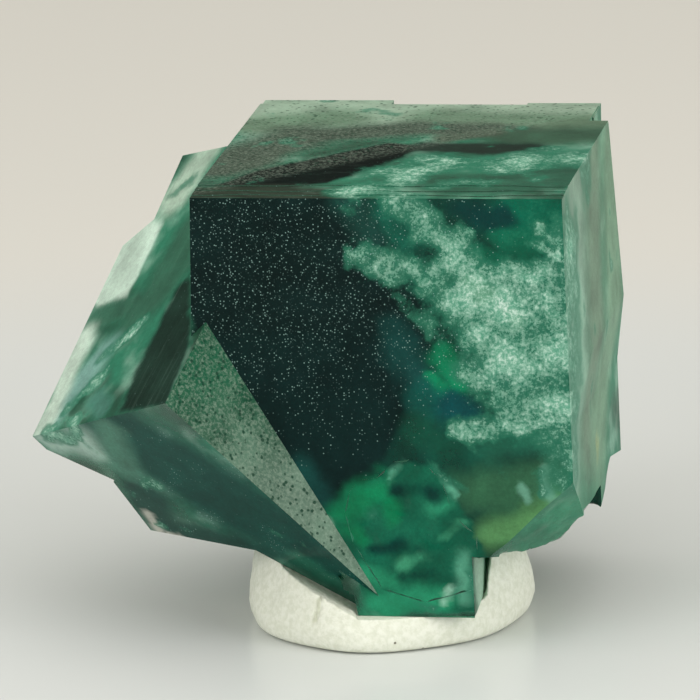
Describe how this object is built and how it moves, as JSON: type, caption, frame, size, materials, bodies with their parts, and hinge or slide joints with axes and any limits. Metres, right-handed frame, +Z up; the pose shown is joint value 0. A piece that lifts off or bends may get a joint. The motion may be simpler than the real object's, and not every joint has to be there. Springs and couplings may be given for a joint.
{
  "type": "fluorite crystal specimen in a putty base",
  "caption": "Green translucent fluorite cube with a second cube grown through it in twin position, standing in a low lump of off-white display putty.",
  "frame": {"origin": "middle of the bounding box at the level of the flat underside of the putty", "axes": "+X along the width of the large cube to the viewer's right, the longest extent; +Y away from the viewer; +Z up"},
  "size_m": [0.0442, 0.0394, 0.0362],
  "materials": {
    "green_fluorite": "clear to milky green crystal, smooth growth faces with fine pits",
    "display_putty": "soft matte putty with thumb marks and faint grain"
  },
  "bodies": {
    "root": {"fluorite": "green_fluorite", "putty_base": "display_putty"}
  },
  "joints": []
}
